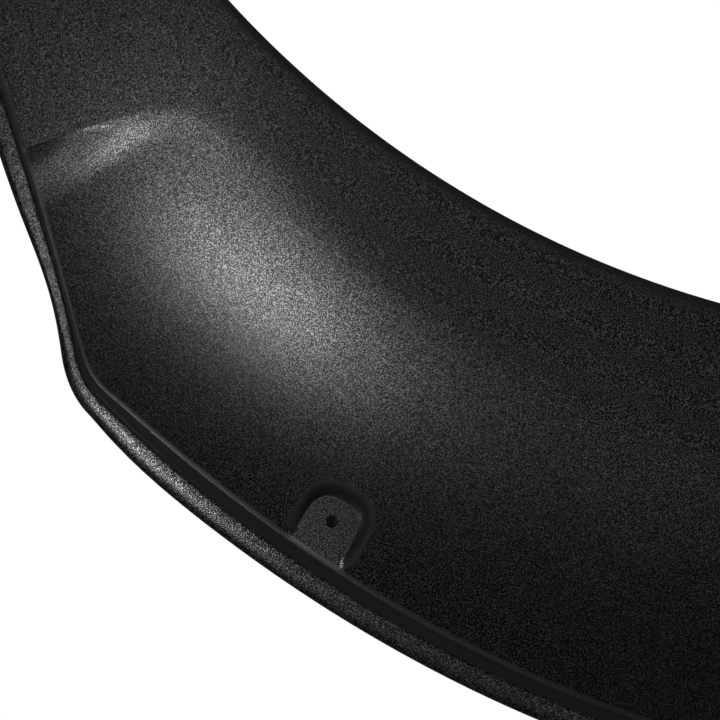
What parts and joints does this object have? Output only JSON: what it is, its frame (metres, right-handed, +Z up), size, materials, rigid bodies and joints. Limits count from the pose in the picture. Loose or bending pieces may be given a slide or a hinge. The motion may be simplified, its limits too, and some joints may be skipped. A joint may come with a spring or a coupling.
{
  "type": "wheel arch trim",
  "caption": "Black moulded plastic wheel arch trim: a wide flared half ring with a flat outer face, swept shoulder, rounded mounting flange and recessed screw pockets.",
  "frame": {"origin": "centre of the wheel opening's arc, in the body plane that the trim is screwed to", "axes": "+X along the car, +Z up, and the outer face looks towards -Y with the body behind it at +Y"},
  "size_m": [0.9088, 0.0399, 0.561],
  "materials": {
    "grained_plastic": "matte with a fine leather grain"
  },
  "bodies": {
    "root": {"arch_trim": "grained_plastic"}
  },
  "joints": []
}
